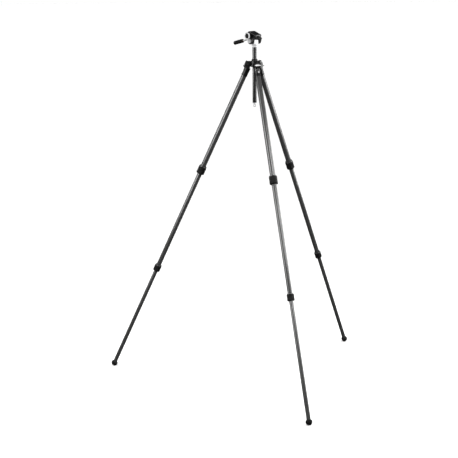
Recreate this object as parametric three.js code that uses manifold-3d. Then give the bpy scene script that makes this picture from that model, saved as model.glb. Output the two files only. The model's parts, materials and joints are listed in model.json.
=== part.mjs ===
// A three-section carbon tripod with a small fluid pan-and-tilt head on a sliding centre column.
//
// Millimetres, +Z up. The parts are made with the column on the Z axis and the feet on z = 0. At
// the end the whole tripod is moved so that its origin is the centre of its box, on the floor.
// A leg is made hanging straight down from its pivot and then swung out to its first angle stop.
// The head is made with x forward, +y on its far side and -y on the side of the clamp knob.

import * as THREE from "three";
import { mergeVertices } from "three/addons/utils/BufferGeometryUtils.js";
import Module from "manifold-3d";

const wasm = await Module();
wasm.setup();

const { degToRad } = THREE.MathUtils;

// ---------------------------------------------------------------- driving dimensions

const GAP = 0.35; // between two pieces that touch
const ROUND = 16; // facets of the larger round pieces
const SMALL_ROUND = 10; // facets of pins, screws and their holes
const CLEARANCE = 0.4; // radial, between a pin or screw and the hole that it turns or slides in

const RIGHT_LEG_AZIMUTH = 47.65;
const LEG_NAMES = ["right", "left", "front"]; // one every 120 degrees
const LEG_SPLAY = 24.9; // each leg's angle from the column at its first stop
const PIVOT_RADIUS = 30; // column axis to leg pivot
const PIVOT_HEIGHT = 1525;
const TUBE_INSET = 4.5; // the leg tubes' axis runs this far inside the pivot

const UPPER_TUBE = { outer: 12.5, inner: 11.35, top: 22, bottom: 562 }; // top, bottom: below pivot
const MID_TUBE = { outer: 11, inner: 9.85, top: 526, bottom: 1108 };
const LOWER_TUBE = { outer: 9.5, inner: 8.4, top: 1073 };
const UPPER_LOCK = { grip: 19.25, length: 40, centre: 558.5 };
const LOWER_LOCK = { grip: 17, length: 33, centre: 1105 };

const FOOT_RADIUS = 15.5;
const FOOT_CENTRE_HEIGHT = 15; // the dome's centre above the floor: its lowest 0.5 is cut flat
const FOOT_SKIRT = 8; // from the dome's centre up to the top of the foot
const FOOT_SOCKET = 2; // how far the tube goes past the dome's centre

const LUG_WIDTH = 18; // the spider's tongue between the two ears of a leg casting
const CASTING_WIDTH = 29;
const CASTING_DROP = 58; // from the pivot to the casting's lower rim
const EAR_RADIUS = 12;
const SHELF = { low: -18, high: -13.3, inner: -12, outer: 16.4 };
const PIVOT_PIN = { shank: 3, head: 5, headThickness: 1.6 };
const CATCH = { inner: 12.4, thickness: 4, top: 11, barLow: -13, barHigh: -9, tabWidth: 14 };
const CATCH_GUIDE = { radius: 1.7, spread: 12, reach: 4 };
const STOP_FACE = { x: 12.1, z: 9 }; // the lug's corner that meets the catch at the first stop

const HUB = { radius: 16.5, bore: 12.7, low: 1512, high: 1540 };
const COLUMN = { outer: 9.75, inner: 8.25, low: 1344, high: 1603.6 };
const COLUMN_PLUG = { radius: 7.8, topDepth: 12, endDepth: 10 };
const END_CAP_HEIGHT = 4; // the part of the end cap below the column
const COLUMN_COLLAR = { radius: 14, low: 1540.4, high: 1548.4, chamfer: 1.5 };
const STUD_RADIUS = 4.75; // 3/8 inch thread
const LOOP = { ring: 5.2, wire: 1.2, hangs: 1335.6 }; // ballast loop, hung from this height

const HEAD_AZIMUTH = 313; // the way that the lens would point
const TILT_AXIS_HEIGHT = 1632;
const NOSE_DOWN = 20; // the platform's tilt as it stands
const BASE = { foot: 9.9, rim: 14.8, low: 1604, high: 1618, cup: 9.2, cupFloor: 1609,
  floorThickness: 1.4, lockScrew: 1611.7 };
const PAN_KNOB = { radius: 5.4, screw: 2, neck: 4, neckEnd: 16.9, outer: 23 }; // ends: from the column
const POST = { halfWidth: 14, roundTop: 12.2, foot: -10.7, flange: -13.7 }; // from the tilt axis
const SPINDLE_RADIUS = 4;
const YOKE = { halfWidth: 30, halfGap: 15.3, radius: 14.3, barLow: 12.7, barHigh: 19.5 };
const AXLE_RADIUS = 5;
const CARTRIDGE = { outer: 9.1, far: 13.6, near: -5.6 }; // tilt drag unit inside the post
const PLATFORM = { back: 6, near: 4.5 }; // the clamp's centre, behind and to the near side of the axes
const CLAMP = { halfLength: 24, halfWidth: 21, split: 14.5, low: 19.8, top: 30.5, lip: 34.8 };
const JAW = { thickness: 9.5, guideRadius: 1.8, guideEnd: 8, guideSpread: 15 };
const DOVETAIL = { waist: 14, widest: 16.5, widestAt: 32.5, neckAt: 35 };
const PLATE = { low: 30.8, deck: 35.2, top: 36.6, padTop: 38 };
const SCREW_AXIS = 24.5; // the clamp screw's height over the tilt axis
const TROUGH = 8.3; // half the width of the bed's trough, and the plate's recess for the screw head
const CLAMP_KNOB = { radius: 16.5, core: 10.8, inner: 42, outer: 48, neck: 4.4, neckEnd: 28.6,
  shank: 2.5, tip: 9.8 };
const CAMERA_SCREW = { head: 7.4, headThickness: 2.2, shank: 3.1 };
const TILT_KNOB = { radius: 10.5, inner: 30.4, outer: 35.6 };
const TILT_CAP = { radius: 8.5, thickness: 2.6 };
const HANDLE = { drop: 33, root: [-21.5, -22.3, 0.7], rod: 4, inserted: 4, exposed: 31,
  collar: 7.2, collarLength: 5.6, grip: 9.2, gripBore: 19, length: 95 };
const HANDLE_SOCKET = { halfHeight: 7.2, halfWidth: 6.8 };

// ---------------------------------------------------------------- finishes

function finish(color, roughness, metalness) {
  return new THREE.MeshStandardMaterial({ color, roughness, metalness, flatShading: true });
}

const carbon = finish(0x2b2c2d, 0.32, 0.1);
const greyTube = finish(0x6f7173, 0.35, 0.7);
const blackMetal = finish(0x1a1a1b, 0.5, 0.3);
const blackPlastic = finish(0x171718, 0.55, 0);
const blackRubber = finish(0x1d1d1d, 0.85, 0);
const satinSilver = finish(0xc9cacb, 0.3, 0.9);
const brightSteel = finish(0xb8babc, 0.22, 1);
const greyMetal = finish(0x8b8d8e, 0.4, 0.8);
const whiteNylon = finish(0xd8d6d0, 0.6, 0);

// ---------------------------------------------------------------- geometry helpers

function signedVolume(geometry) {
  const [a, b, c] = [new THREE.Vector3(), new THREE.Vector3(), new THREE.Vector3()];
  const { position } = geometry.attributes;
  const corners = geometry.index.array;
  let volume = 0;
  for (let i = 0; i < corners.length; i += 3) {
    a.fromBufferAttribute(position, corners[i]);
    b.fromBufferAttribute(position, corners[i + 1]);
    c.fromBufferAttribute(position, corners[i + 2]);
    volume += a.dot(b.cross(c)) / 6;
  }
  return volume;
}

// Shares the vertices, drops collapsed triangles and turns every face outward.
function welded(geometry) {
  geometry.deleteAttribute("normal");
  geometry.deleteAttribute("uv");
  const shared = mergeVertices(geometry, 1e-4);
  const corners = [];
  for (let i = 0; i < shared.index.count; i += 3) {
    const [a, b, c] = [0, 1, 2].map((k) => shared.index.getX(i + k));
    if (a !== b && b !== c && c !== a) corners.push(a, b, c);
  }
  shared.setIndex(corners);
  if (signedVolume(shared) < 0) shared.setIndex(corners.reverse());
  return shared;
}

function toSolid(geometry) {
  const vertProperties = new Float32Array(geometry.attributes.position.array);
  const triVerts = new Uint32Array(geometry.index.array);
  return new wasm.Manifold(new wasm.Mesh({ numProp: 3, vertProperties, triVerts }));
}

function toGeometry(solid) {
  const { numProp, vertProperties, triVerts } = solid.getMesh();
  const geometry = new THREE.BufferGeometry();
  geometry.setAttribute("position", new THREE.BufferAttribute(vertProperties, numProp));
  geometry.setIndex(new THREE.BufferAttribute(triVerts, 1));
  return geometry;
}

function join(...shapes) {
  return toGeometry(shapes.map(toSolid).reduce((sum, shape) => sum.add(shape)));
}

function cut(shape, ...tools) {
  return toGeometry(tools.map(toSolid).reduce((rest, tool) => rest.subtract(tool), toSolid(shape)));
}

function intersect(shape, other) {
  return toGeometry(toSolid(shape).intersect(toSolid(other)));
}

// A profile of [radius, height] points, turned about the Z axis.
function revolve(profile, segments = ROUND) {
  const points = profile.map(([radius, height]) => new THREE.Vector2(radius, height));
  return welded(new THREE.LatheGeometry(points, segments).rotateX(Math.PI / 2));
}

function tube(outer, inner, low, high, segments = ROUND) {
  const profile = [[inner, low], [outer, low], [outer, high], [inner, high], [inner, low]];
  return revolve(profile, segments);
}

function rod(radius, low, high, segments = ROUND) {
  return revolve([[0, low], [radius, low], [radius, high], [0, high]], segments);
}

// A box between two corners.
function block([x0, y0, z0], [x1, y1, z1]) {
  const box = new THREE.BoxGeometry(x1 - x0, y1 - y0, z1 - z0);
  return welded(box.translate((x0 + x1) / 2, (y0 + y1) / 2, (z0 + z1) / 2));
}

// An outline in the XZ plane, given thickness from one y to another.
function slab(outline, fromY, toY, curveSegments = 8) {
  const settings = { depth: toY - fromY, bevelEnabled: false, curveSegments };
  const geometry = new THREE.ExtrudeGeometry(outline, settings).rotateX(Math.PI / 2);
  return welded(geometry.translate(0, toY, 0));
}

function outlineOf(points) {
  return new THREE.Shape(points.map(([x, y]) => new THREE.Vector2(x, y)));
}

// The ways a piece made along +Z is laid over.
const alongNearSide = (geometry) => geometry.rotateX(Math.PI / 2);
const alongX = (geometry) => geometry.rotateY(Math.PI / 2);

function part(name, geometry, material) {
  const mesh = new THREE.Mesh(geometry, material);
  mesh.name = name;
  return mesh;
}

function groupAt([x, y, z], ...children) {
  const group = new THREE.Group();
  group.position.set(x, y, z);
  group.add(...children);
  return group;
}

// ---------------------------------------------------------------- legs

// The forked casting at a leg's top: a socket for the tube, a shelf and two ears round the lug.
function legCasting() {
  const half = CASTING_WIDTH / 2;
  const socket = rod(half, -CASTING_DROP, SHELF.low + 1).translate(-TUBE_INSET, 0, 0);
  const shelf = block([SHELF.inner, -half, SHELF.low], [SHELF.outer, half, SHELF.high]);
  const ear = new THREE.Shape();
  ear.moveTo(EAR_RADIUS, SHELF.high - 1);
  ear.lineTo(EAR_RADIUS, 0);
  ear.absarc(0, 0, EAR_RADIUS, 0, Math.PI, false);
  ear.lineTo(-EAR_RADIUS, SHELF.high - 1);
  const innerFace = LUG_WIDTH / 2 + GAP;
  const fork = join(socket, shelf, slab(ear, innerFace, half), slab(ear, -half, -innerFace));

  const boreTop = -UPPER_TUBE.top + GAP;
  const bore = rod(UPPER_TUBE.outer + 0.45, -CASTING_DROP - 1, boreTop);
  const pinHole = rod(PIVOT_PIN.shank + CLEARANCE, -CASTING_WIDTH, CASTING_WIDTH, SMALL_ROUND);
  const { radius, spread, reach } = CATCH_GUIDE;
  const guideHole = (side) =>
    alongX(rod(radius + CLEARANCE, reach - GAP, SHELF.outer + 1, SMALL_ROUND))
      .translate(0, side * spread, (CATCH.barLow + CATCH.barHigh) / 2);
  return cut(fork, bore.translate(-TUBE_INSET, 0, 0), alongNearSide(pinHole),
    guideHole(-1), guideHole(1));
}

// The pull-out catch: a bar across the fork on two guide pins, with a tab that stops the lug.
function angleCatch() {
  const half = CASTING_WIDTH / 2;
  const { inner, thickness, top, barLow, barHigh, tabWidth } = CATCH;
  const bar = block([inner, -half, barLow], [inner + thickness, half, barHigh]);
  const tab = block([inner, -tabWidth / 2, barLow], [inner + thickness - 1, tabWidth / 2, top]);
  const guide = (side) =>
    alongX(rod(CATCH_GUIDE.radius, CATCH_GUIDE.reach, inner + 1, SMALL_ROUND))
      .translate(0, side * CATCH_GUIDE.spread, (barLow + barHigh) / 2);
  return join(bar, tab, guide(-1), guide(1));
}

function pivotPin() {
  const { shank, head, headThickness } = PIVOT_PIN;
  const underHead = CASTING_WIDTH / 2 + GAP;
  const end = underHead + headThickness;
  return alongNearSide(revolve([
    [0, -end], [head, -end], [head, -underHead], [shank, -underHead],
    [shank, underHead], [head, underHead], [head, end], [0, end],
  ], SMALL_ROUND));
}

// A twist lock's metal nut. Its rim shows above the rubber grip, and it narrows on to the
// thinner tube below the end of the wider one.
function lockNut({ grip, length, centre }, wide, narrow) {
  const [top, bottom] = [-(centre - length / 2), -(centre + length / 2)];
  const [body, rim] = [grip - 3.3, grip - 1.6];
  const wideBore = wide.outer + 0.5;
  const narrowBore = narrow.outer + CLEARANCE;
  const step = -wide.bottom - 1;
  return revolve([
    [wideBore, top], [wideBore, step], [narrowBore, step - 2], [narrowBore, bottom],
    [body, bottom], [body, top - 3.2], [rim, top - 3.2], [rim, top], [wideBore, top],
  ]);
}

function lockGrip({ grip, length, centre }) {
  const [top, bottom] = [-(centre - length / 2) - 3.6, -(centre + length / 2) - 0.5];
  const inside = grip - 2.9;
  return revolve([
    [inside, bottom], [grip - 1.4, bottom], [grip, bottom + 1.6], [grip, top - 1.6],
    [grip - 1.2, top], [inside, top], [inside, bottom],
  ]);
}

// Where the foot's dome is centred, measured down the tube from beside the pivot.
function footStation() {
  const splay = degToRad(LEG_SPLAY);
  const drop = PIVOT_HEIGHT - TUBE_INSET * Math.sin(splay) - FOOT_CENTRE_HEIGHT;
  return drop / Math.cos(splay);
}

// A rubber cup, domed below. The dome's underside is cut level with the floor.
function rubberFoot() {
  const dome = [];
  const steps = 5;
  for (let i = 0; i <= steps; i += 1) {
    const angle = (i / steps) * (Math.PI / 2);
    dome.push([FOOT_RADIUS * Math.sin(angle), -FOOT_RADIUS * Math.cos(angle)]);
  }
  const socketRadius = LOWER_TUBE.outer + GAP;
  const cup = revolve([
    ...dome, [FOOT_RADIUS - 0.6, FOOT_SKIRT - 4], [FOOT_RADIUS - 3.5, FOOT_SKIRT],
    [socketRadius, FOOT_SKIRT], [socketRadius, -FOOT_SOCKET - GAP], [0, -FOOT_SOCKET - GAP],
  ]);
  const size = 4 * FOOT_RADIUS;
  const aboveFloor = block([-size, -size, -FOOT_CENTRE_HEIGHT], [size, size, size]);
  return intersect(cup, aboveFloor.rotateY(degToRad(LEG_SPLAY)));
}

function makeLeg(name, azimuth) {
  const foot = footStation();
  const lowerTube = tube(LOWER_TUBE.outer, LOWER_TUBE.inner, -foot - FOOT_SOCKET, -LOWER_TUBE.top);
  const midTube = tube(MID_TUBE.outer, MID_TUBE.inner, -MID_TUBE.bottom, -MID_TUBE.top);
  const upperTube = tube(UPPER_TUBE.outer, UPPER_TUBE.inner, -UPPER_TUBE.bottom, -UPPER_TUBE.top);
  const onTubeAxis = groupAt([-TUBE_INSET, 0, 0],
    part(`${name}_leg_upper_tube`, upperTube, carbon),
    part(`${name}_leg_upper_lock_nut`, lockNut(UPPER_LOCK, UPPER_TUBE, MID_TUBE), greyMetal),
    part(`${name}_leg_upper_lock_grip`, lockGrip(UPPER_LOCK), blackRubber),
    part(`${name}_leg_mid_tube`, midTube, carbon),
    part(`${name}_leg_lower_lock_nut`, lockNut(LOWER_LOCK, MID_TUBE, LOWER_TUBE), greyMetal),
    part(`${name}_leg_lower_lock_grip`, lockGrip(LOWER_LOCK), blackRubber),
    part(`${name}_leg_lower_tube`, lowerTube, carbon),
    part(`${name}_leg_foot`, rubberFoot().translate(0, 0, -foot), blackRubber));

  const leg = groupAt([PIVOT_RADIUS, 0, PIVOT_HEIGHT], onTubeAxis,
    part(`${name}_leg_casting`, legCasting(), blackMetal),
    part(`${name}_leg_angle_catch`, angleCatch(), brightSteel),
    part(`${name}_leg_pivot_pin`, pivotPin(), brightSteel));
  leg.rotation.y = -degToRad(LEG_SPLAY);
  const turned = groupAt([0, 0, 0], leg);
  turned.rotation.z = degToRad(azimuth);
  return turned;
}

// ---------------------------------------------------------------- spider and column

// A lug's outline, from the hub out round the pivot, with the corner that meets the catch.
function lugOutline() {
  const splay = degToRad(LEG_SPLAY);
  const stopX = STOP_FACE.x * Math.cos(splay) - STOP_FACE.z * Math.sin(splay);
  const stopZ = STOP_FACE.x * Math.sin(splay) + STOP_FACE.z * Math.cos(splay);
  const hubOverlap = HUB.bore + 1;
  const outline = new THREE.Shape();
  outline.moveTo(hubOverlap, -EAR_RADIUS);
  outline.lineTo(PIVOT_RADIUS, -EAR_RADIUS);
  outline.absarc(PIVOT_RADIUS, 0, EAR_RADIUS, -Math.PI / 2, degToRad(35), false);
  outline.lineTo(PIVOT_RADIUS + stopX, stopZ);
  outline.lineTo(hubOverlap, stopZ);
  return outline;
}

function spider() {
  const lug = (index) => {
    const arm = slab(lugOutline(), -LUG_WIDTH / 2, LUG_WIDTH / 2);
    const hole = rod(PIVOT_PIN.shank + CLEARANCE, -LUG_WIDTH, LUG_WIDTH, SMALL_ROUND);
    const drilled = cut(arm, alongNearSide(hole).translate(PIVOT_RADIUS, 0, 0));
    return drilled.translate(0, 0, PIVOT_HEIGHT).rotateZ(degToRad(RIGHT_LEG_AZIMUTH + 120 * index));
  };
  return join(tube(HUB.radius, HUB.bore, HUB.low, HUB.high), ...LEG_NAMES.map((_, i) => lug(i)));
}

function columnCollar() {
  const { radius, low, high, chamfer } = COLUMN_COLLAR;
  const bore = COLUMN.outer + 0.5;
  return revolve([
    [bore, low], [radius - 0.6, low], [radius, low + 0.6], [radius, high - chamfer],
    [radius - chamfer, high], [bore, high], [bore, low],
  ]);
}

// The plug, flush with the column's top, with the stud that the head screws on to.
function columnTopPlug() {
  const { radius, topDepth } = COLUMN_PLUG;
  const { high } = COLUMN;
  const tip = BASE.cupFloor - BASE.floorThickness - GAP;
  return revolve([
    [0, high - topDepth], [radius, high - topDepth], [radius, high], [STUD_RADIUS, high],
    [STUD_RADIUS, tip - 0.8], [STUD_RADIUS - 0.8, tip], [0, tip],
  ]);
}

// The cap plugs the column's lower end and carries an eye for the ballast loop.
function columnEndCap() {
  const { radius, endDepth } = COLUMN_PLUG;
  const rim = COLUMN.low - GAP;
  const eyeTop = rim - END_CAP_HEIGHT;
  const cap = revolve([
    [0, eyeTop], [COLUMN.outer - 1.2, eyeTop], [COLUMN.outer, eyeTop + 1.2], [COLUMN.outer, rim],
    [radius, rim], [radius, rim + endDepth], [0, rim + endDepth],
  ]);
  const eye = block([-2, -3.4, LOOP.hangs - 2.8], [2, 3.4, eyeTop + 1]);
  const hole = alongX(rod(LOOP.wire + 0.9, -4, 4, SMALL_ROUND)).translate(0, 0, LOOP.hangs);
  return cut(join(cap, eye), hole);
}

function ballastLoop() {
  const torus = new THREE.TorusGeometry(LOOP.ring, LOOP.wire, 6, 16).rotateX(Math.PI / 2);
  return welded(torus.translate(0, 0, LOOP.hangs - LOOP.ring));
}

function makeColumn() {
  const bushRadius = HUB.bore - 0.5;
  return groupAt([0, 0, 0],
    part("spider", spider(), blackMetal),
    part("column_bush", tube(bushRadius, COLUMN.outer + CLEARANCE, HUB.low + 1, HUB.high - 1), whiteNylon),
    part("column_lock_collar", columnCollar(), blackPlastic),
    part("center_column", tube(COLUMN.outer, COLUMN.inner, COLUMN.low, COLUMN.high), greyTube),
    part("column_top_plug", columnTopPlug(), satinSilver),
    part("column_end_cap", columnEndCap(), satinSilver),
    part("ballast_loop", ballastLoop(), brightSteel));
}

// ---------------------------------------------------------------- head: base and post

// The flared base screws on to the stud, and its cup holds the pan drag cartridge.
function headBase() {
  const { foot, rim, low, high, cup, cupFloor } = BASE;
  const threadTop = cupFloor - BASE.floorThickness;
  const bore = STUD_RADIUS + GAP;
  const flare = revolve([
    [0, threadTop], [bore, threadTop], [bore, low], [foot, low], [foot + 0.6, low + 4],
    [rim, high - 1.6], [rim, high], [cup, high], [cup, cupFloor], [0, cupFloor],
  ]);
  const screwHole = alongX(rod(PAN_KNOB.screw + CLEARANCE, cup - 0.8, rim + 1, SMALL_ROUND))
    .rotateZ(Math.PI / 2);
  return cut(flare, screwHole.translate(0, 0, BASE.lockScrew));
}

// A knurled knob with its screw, on the side of the base, that squeezes the pan cartridge.
function panLockKnob() {
  const { radius, screw, neck, neckEnd, outer } = PAN_KNOB;
  const tip = BASE.cup + CLEARANCE;
  const knob = revolve([
    [0, tip], [screw, tip], [screw, neckEnd - 0.7], [neck, neckEnd - 0.7], [neck, neckEnd],
    [radius, neckEnd + 0.6], [radius, outer - 0.8], [radius - 0.8, outer], [0, outer],
  ], SMALL_ROUND + 2);
  return alongX(knob).rotateZ(Math.PI / 2).translate(0, 0, BASE.lockScrew);
}

// The panning post, round-topped about the tilt axis, with the pan spindle below it.
function panPost() {
  const { halfWidth, roundTop, foot, flange } = POST;
  const profile = new THREE.Shape();
  profile.moveTo(roundTop, foot - 1);
  profile.lineTo(roundTop, 0);
  profile.absarc(0, 0, roundTop, 0, Math.PI, false);
  profile.lineTo(-roundTop, foot - 1);
  const disc = rod(BASE.rim, flange, foot);
  const spindleFoot = BASE.cupFloor + 0.6 - TILT_AXIS_HEIGHT;
  const spindle = rod(SPINDLE_RADIUS, spindleFoot, flange + 1, SMALL_ROUND + 2);
  const body = intersect(slab(profile, -halfWidth, halfWidth, 10), rod(BASE.rim + 3.6, -30, 30));
  const axleHole = rod(AXLE_RADIUS + CLEARANCE, -halfWidth - 1, halfWidth + 1);
  const chamber = rod(CARTRIDGE.outer + 0.45, -halfWidth - 1, GAP - CARTRIDGE.near);
  return cut(join(body, disc, spindle), alongNearSide(axleHole), alongNearSide(chamber));
}

function makeHeadBase() {
  const { cup, cupFloor, high } = BASE;
  const panUnit = tube(cup - 0.5, SPINDLE_RADIUS + 0.5, cupFloor + GAP, high - GAP);
  return groupAt([0, 0, 0],
    part("head_base", headBase(), satinSilver),
    part("pan_drag_cartridge", panUnit, whiteNylon),
    part("pan_lock_knob", panLockKnob(), blackPlastic));
}

function makePost() {
  const { outer, far, near } = CARTRIDGE;
  const tiltUnit = alongNearSide(tube(outer, AXLE_RADIUS + 0.5, -far, -near));
  return groupAt([0, 0, TILT_AXIS_HEIGHT],
    part("pan_post", panPost(), satinSilver),
    part("tilt_drag_cartridge", tiltUnit, whiteNylon));
}

// ---------------------------------------------------------------- head: tilting parts

// An upside-down U over the post: two round-ended arms joined by a bar.
function tiltYoke() {
  const { halfWidth, halfGap, radius, barLow, barHigh } = YOKE;
  const profile = new THREE.Shape();
  profile.moveTo(-radius, barHigh);
  profile.lineTo(-radius, 0);
  profile.absarc(0, 0, radius, Math.PI, 2 * Math.PI, false);
  profile.lineTo(radius, barHigh);
  const body = slab(profile, -halfWidth, halfWidth, 10);
  const reach = radius + 2;
  const slot = block([-reach, -halfGap, -reach], [reach, halfGap, barLow]);
  const axleHole = rod(AXLE_RADIUS + CLEARANCE, -halfWidth - 1, halfWidth + 1);
  return cut(body, slot, alongNearSide(axleHole));
}

// The side of the dovetail channel, as [distance from the centre line, height] points.
const channelSide = [
  [DOVETAIL.waist + 0.4, CLAMP.top], [DOVETAIL.widest + 0.5, DOVETAIL.widestAt],
  [DOVETAIL.waist + 0.5, CLAMP.lip],
];

// A cross-section in the YZ plane, given length along x.
function railOf(section, halfLength) {
  const settings = { depth: 2 * halfLength, bevelEnabled: false };
  const geometry = new THREE.ExtrudeGeometry(outlineOf(section), settings);
  return welded(geometry.rotateX(Math.PI / 2).rotateZ(Math.PI / 2).translate(-halfLength, 0, 0));
}

// The clamp's bed with its fixed jaw, a trough for the camera screw's head and the jaw's holes.
function clampBase() {
  const { halfLength, halfWidth, split, low, top, lip } = CLAMP;
  const bed = railOf([
    [-split, low], [halfWidth, low], [halfWidth, lip], channelSide[2], channelSide[1],
    channelSide[0], [-split, top],
  ], halfLength);
  const reach = halfLength + 1;
  const trough = block([-reach, -TROUGH, SCREW_AXIS - 1], [reach, TROUGH, lip]);
  const { guideRadius, guideEnd, guideSpread } = JAW;
  const hole = (radius, end, x) =>
    alongNearSide(rod(radius + CLEARANCE, end - 0.5, split + 1, SMALL_ROUND))
      .translate(x, 0, SCREW_AXIS);
  return cut(bed, trough, hole(CLAMP_KNOB.shank, CLAMP_KNOB.tip, 0),
    hole(guideRadius, guideEnd, -guideSpread), hole(guideRadius, guideEnd, guideSpread));
}

// The moving jaw on two guide pins, with a hole for the clamp screw.
function clampJaw() {
  const { halfLength, split, low, lip } = CLAMP;
  const { thickness, guideRadius, guideEnd, guideSpread } = JAW;
  const [face, back] = [split + GAP, split + thickness];
  const jaw = railOf([
    [-face, low], [-face, CLAMP.top], ...channelSide.slice(1).map(([y, z]) => [-y, z]),
    [-back + 1, lip], [-back, lip - 1], [-back, low],
  ], halfLength);
  const guide = (x) =>
    alongNearSide(rod(guideRadius, guideEnd, face + 1, SMALL_ROUND)).translate(x, 0, SCREW_AXIS);
  const screwHole = alongNearSide(rod(CLAMP_KNOB.shank + 0.5, split - 1, back + 1, 12));
  return cut(join(jaw, guide(-guideSpread), guide(guideSpread)),
    screwHole.translate(0, 0, SCREW_AXIS));
}

function clampKnobCore() {
  const { core, inner, outer, neck, neckEnd, shank, tip } = CLAMP_KNOB;
  const knob = revolve([
    [0, tip], [shank, tip], [shank, neckEnd], [neck, neckEnd], [neck, inner + 1],
    [core, inner + 1], [core, outer - 1], [core - 1, outer - 0.2], [0, outer - 0.2],
  ]);
  return alongNearSide(knob).translate(0, 0, SCREW_AXIS);
}

function clampKnobRing() {
  const { radius, core, inner, outer } = CLAMP_KNOB;
  const bore = core + 0.5;
  const ring = revolve([
    [bore, inner], [radius - 1.5, inner], [radius, inner + 1.5], [radius, outer - 1.5],
    [radius - 1.5, outer], [bore, outer], [bore, inner],
  ], ROUND + 8);
  return alongNearSide(ring).translate(0, 0, SCREW_AXIS);
}

// The quick-release plate: a dovetail rail under a wider deck, with the camera screw's hole.
function releasePlate() {
  const { waist, widest, widestAt, neckAt } = DOVETAIL;
  const { low, deck, top } = PLATE;
  const edge = CLAMP.halfWidth;
  const half = [[waist, low], [widest, widestAt], [waist, neckAt], [waist, deck], [edge, deck],
    [edge, top]];
  const mirrored = half.map(([y, z]) => [-y, z]).reverse();
  const hole = rod(CAMERA_SCREW.shank + 0.5, low - 1, top + 1, SMALL_ROUND);
  const recess = rod(TROUGH - 0.2, low - 1, low + 2.5); // room for the screw's head when it lifts
  return cut(railOf([...half, ...mirrored], CLAMP.halfLength), hole, recess);
}

function platePad() {
  const [x, y] = [CLAMP.halfLength - 1.2, CLAMP.halfWidth - 1.2];
  const pad = block([-x, -y, PLATE.top + GAP], [x, y, PLATE.padTop]);
  return cut(pad, rod(CAMERA_SCREW.shank + 1.1, PLATE.top, PLATE.padTop + 1, SMALL_ROUND));
}

// The captive 1/4 inch camera screw, hanging with its tip just below the top of the pad.
function cameraScrew() {
  const { head, headThickness, shank } = CAMERA_SCREW;
  const bottom = SCREW_AXIS - 0.4;
  const tip = PLATE.padTop - 0.3;
  return revolve([
    [0, bottom], [head, bottom], [head, bottom + headThickness], [shank, bottom + headThickness],
    [shank, tip - 0.7], [shank - 0.7, tip], [0, tip],
  ]);
}

function tiltLockKnob() {
  const { radius, inner, outer } = TILT_KNOB;
  return alongNearSide(revolve([
    [0, inner], [radius - 0.8, inner], [radius, inner + 0.8], [radius, outer - 1.2],
    [radius - 1.2, outer], [0, outer],
  ]));
}

function tiltEndCap() {
  const { radius, thickness } = TILT_CAP;
  const face = YOKE.halfWidth + GAP;
  const end = face + thickness;
  const cap = revolve([[0, face], [radius, face], [radius, end - 1.2], [radius - 1.2, end], [0, end]]);
  return alongNearSide(cap).rotateZ(Math.PI);
}

// The wedge behind the near arm that the handle rod goes into.
function handleSocket() {
  const [x, y, z] = HANDLE.root;
  const slope = degToRad(HANDLE.drop);
  const { halfHeight, halfWidth } = HANDLE_SOCKET;
  const [dx, dz] = [halfHeight * Math.sin(slope), halfHeight * Math.cos(slope)];
  const front = -YOKE.radius - GAP;
  const outline = outlineOf([
    [front, z + 8], [x - dx + 5, z + 8.4], [x - dx, z + dz], [x + dx, z - dz], [front, z - 8.5],
  ]);
  const hole = rod(HANDLE.rod + 0.45, -HANDLE.inserted - 0.6, 2, SMALL_ROUND + 2);
  const bore = hole.rotateY(-Math.PI / 2 - slope);
  return cut(slab(outline, y - halfWidth, y + halfWidth), bore.translate(x, y, z));
}

// The rod, its collar and its grip, made along the handle from the socket's face outward.
function makeHandle() {
  const { exposed, inserted, length, grip, gripBore, rod: rodRadius, root, drop } = HANDLE;
  const bore = rodRadius + 0.45;
  const { collar, collarLength } = HANDLE;
  const collarEnd = exposed + collarLength;
  const collarShape = revolve([
    [bore, exposed], [collar - 1, exposed], [collar, exposed + 1.5], [collar, collarEnd],
    [bore, collarEnd], [bore, exposed],
  ]);
  const gripLow = collarEnd + 0.4;
  const boreEnd = gripLow + gripBore;
  const gripShape = revolve([
    [bore, gripLow], [grip - 0.9, gripLow], [grip, gripLow + 2], [grip - 0.7, gripLow + 22],
    [grip, length - 14], [grip, length - 3], [grip - 2.4, length], [0, length],
    [0, boreEnd], [bore, boreEnd], [bore, gripLow],
  ]);
  const handle = groupAt(root,
    part("handle_rod", rod(rodRadius, -inserted, boreEnd - 1), satinSilver),
    part("handle_collar", collarShape, blackMetal),
    part("handle_grip", gripShape, blackRubber));
  handle.rotation.y = -Math.PI / 2 - degToRad(drop);
  return handle;
}

function makeTiltingHead() {
  const axleReach = YOKE.halfWidth - 0.3;
  const axle = alongNearSide(rod(AXLE_RADIUS, -axleReach, axleReach));
  const platform = groupAt([-PLATFORM.back, -PLATFORM.near, 0],
    part("clamp_base", clampBase(), blackMetal),
    part("clamp_jaw", clampJaw(), greyMetal),
    part("clamp_knob_core", clampKnobCore(), blackPlastic),
    part("clamp_knob_ring", clampKnobRing(), satinSilver),
    part("quick_release_plate", releasePlate(), greyMetal),
    part("plate_pad", platePad(), blackRubber),
    part("camera_screw", cameraScrew(), brightSteel));
  const tilting = groupAt([0, 0, TILT_AXIS_HEIGHT],
    part("tilt_yoke", tiltYoke(), blackMetal),
    part("tilt_axle", axle, brightSteel),
    part("tilt_end_cap", tiltEndCap(), satinSilver),
    part("tilt_lock_knob", tiltLockKnob(), satinSilver),
    part("handle_socket", handleSocket(), satinSilver),
    platform, makeHandle());
  tilting.rotation.y = degToRad(NOSE_DOWN);
  return tilting;
}

// ---------------------------------------------------------------- the whole tripod

const turningHead = groupAt([0, 0, 0], makePost(), makeTiltingHead());
turningHead.rotation.z = degToRad(HEAD_AZIMUTH);

const tripod = groupAt([0, 0, 0], makeColumn(), makeHeadBase(), turningHead,
  ...LEG_NAMES.map((name, index) => makeLeg(name, RIGHT_LEG_AZIMUTH + 120 * index)));

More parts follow.
